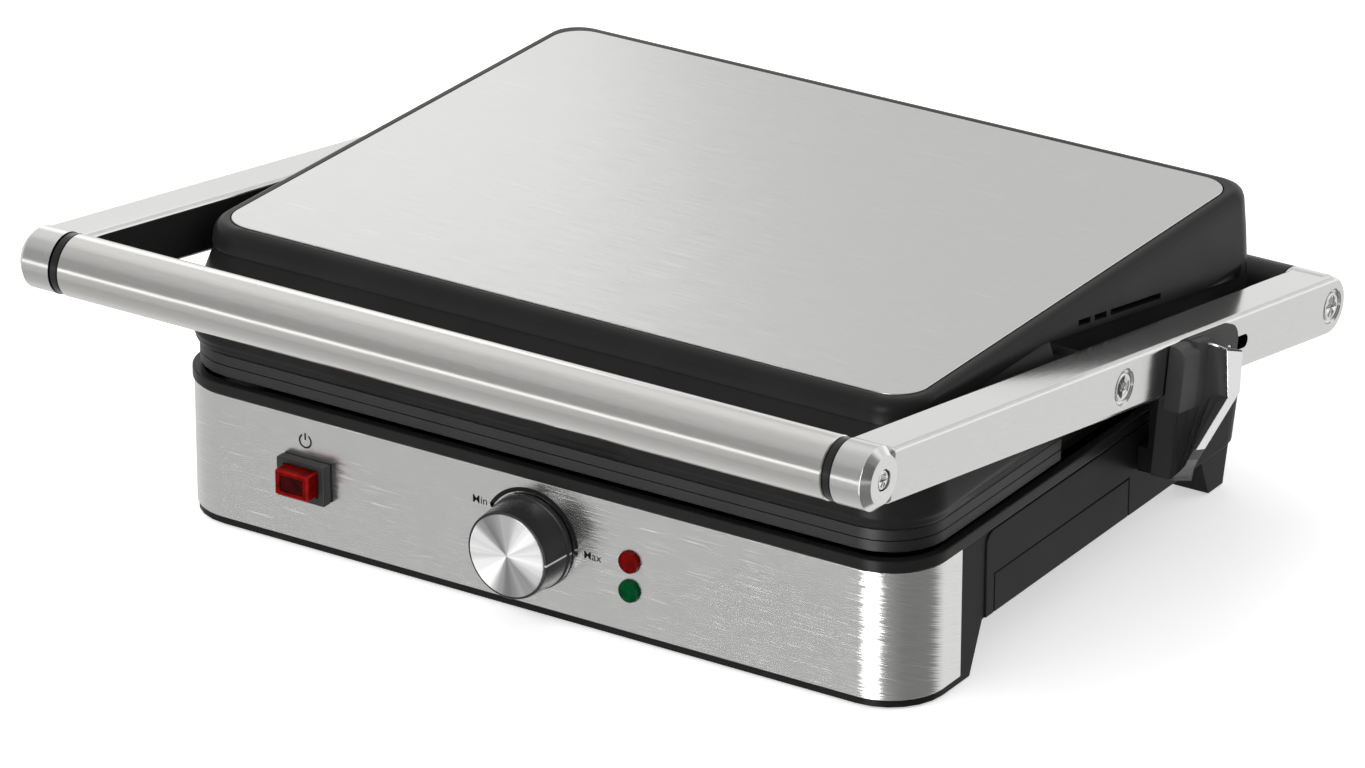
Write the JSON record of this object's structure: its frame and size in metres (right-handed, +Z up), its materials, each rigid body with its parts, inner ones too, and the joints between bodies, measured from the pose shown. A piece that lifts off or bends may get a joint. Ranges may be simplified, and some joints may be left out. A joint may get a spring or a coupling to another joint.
{
  "type": "contact grill",
  "caption": "Countertop contact grill: steel-banded base, ribbed plates, floating cover on arms with a tube handle that opens flat, drip tray, dial, push switch and sliding side lock.",
  "frame": {"origin": "on the table, under the middle of the footprint of the closed grill", "axes": "+X to the user's right along the handle, -Y towards the user, +Z up"},
  "size_m": [0.3836, 0.3568, 0.1337],
  "materials": {
    "black_plastic": "satin black moulded plastic",
    "dark_plastic": "matt black moulded plastic",
    "brushed_steel": "fine brushed stainless steel",
    "spun_metal": "satin metal, spun on the dial",
    "coated_plate": "black non-stick coating on cast aluminium",
    "heater_steel": "heat-darkened steel sheath",
    "screw_steel": "bright plated steel",
    "bush_brass": "turned brass",
    "rubber": "matt black rubber",
    "red_lens": "clear red plastic",
    "green_lens": "clear green plastic",
    "insulator": "pale insulating body"
  },
  "bodies": {
    "base": {"base_housing": "black_plastic", "steel_band": "brushed_steel", "side_panel_left": "black_plastic", "side_panel_right": "black_plastic", "base_rim": "black_plastic", "lower_grill_plate": "coated_plate", "lower_heater": "heater_steel", "lower_heat_shield": "spun_metal", "bottom_cover": "dark_plastic", "bottom_screw_front_left": "screw_steel", "bottom_screw_front_right": "screw_steel", "bottom_screw_rear_left": "screw_steel", "bottom_screw_rear_right": "screw_steel", "foot_front_left": "rubber", "foot_front_right": "rubber", "foot_rear_left": "rubber", "foot_rear_right": "rubber", "rear_rest_left": "rubber", "rear_rest_right": "rubber", "hinge_barrel": "black_plastic", "thermostat_body": "insulator", "terminal_block": "insulator", "cord_inlet": "dark_plastic", "switch_bezel": "black_plastic", "lamp_red": "red_lens", "lamp_green": "green_lens", "lock_keeper": "black_plastic"},
    "tray": {"drip_tray": "black_plastic"},
    "button": {"power_button": "red_lens"},
    "knob": {"knob_grip": "black_plastic", "knob_disc": "spun_metal", "thermostat_shaft": "screw_steel"},
    "lid_frame": {"arm_left": "brushed_steel", "arm_right": "brushed_steel", "arm_liner_left": "black_plastic", "arm_liner_right": "black_plastic", "handle_tube": "brushed_steel", "handle_ring_left": "black_plastic", "handle_ring_right": "black_plastic", "hinge_screw_left": "screw_steel", "hinge_screw_right": "screw_steel", "pivot_screw_left": "screw_steel", "pivot_screw_right": "screw_steel", "handle_screw_left": "screw_steel", "handle_screw_right": "screw_steel"},
    "cover": {"cover_shell": "black_plastic", "top_plate": "brushed_steel", "upper_grill_plate": "coated_plate", "upper_heater": "heater_steel", "upper_heat_shield": "spun_metal", "pivot_bush_left": "bush_brass", "pivot_bush_right": "bush_brass"},
    "side_lock": {"lock_slider": "black_plastic", "lock_pin": "screw_steel", "lock_trim": "spun_metal"}
  },
  "joints": [
    {"name": "lid_hinge", "type": "hinge", "parent": "base", "child": "lid_frame", "pos_m": [-0.0068, 0.16637, 0.067], "axis": [-1, 0, 0], "range_deg": [0, 180]},
    {"name": "cover_tilt", "type": "hinge", "parent": "lid_frame", "child": "cover", "pos_m": [-0.0068, 0.00356, 0.09381], "axis": [1, 0, 0], "range_deg": [0, 4]},
    {"name": "lock_slide", "type": "slide", "parent": "lid_frame", "child": "side_lock", "axis": [0, 0.9867, -0.1625], "range_m": [0, 0.01]},
    {"name": "knob_turn", "type": "hinge", "parent": "base", "child": "knob", "pos_m": [-0.0068, -0.11203, 0.03], "axis": [0, 1, 0], "range_deg": [-149, 0]},
    {"name": "button_press", "type": "slide", "parent": "base", "child": "button", "axis": [0, 1, 0], "range_m": [0, 0.003], "stiffness_N_per_m": 300, "springref_m": -0.002},
    {"name": "tray_slide", "type": "slide", "parent": "base", "child": "tray", "axis": [1, 0, 0], "range_m": [0, 0.158]}
  ],
  "couplings": [
    {"joint": "cover_tilt", "follows": "lid_hinge", "ratio": 0.022222}
  ]
}
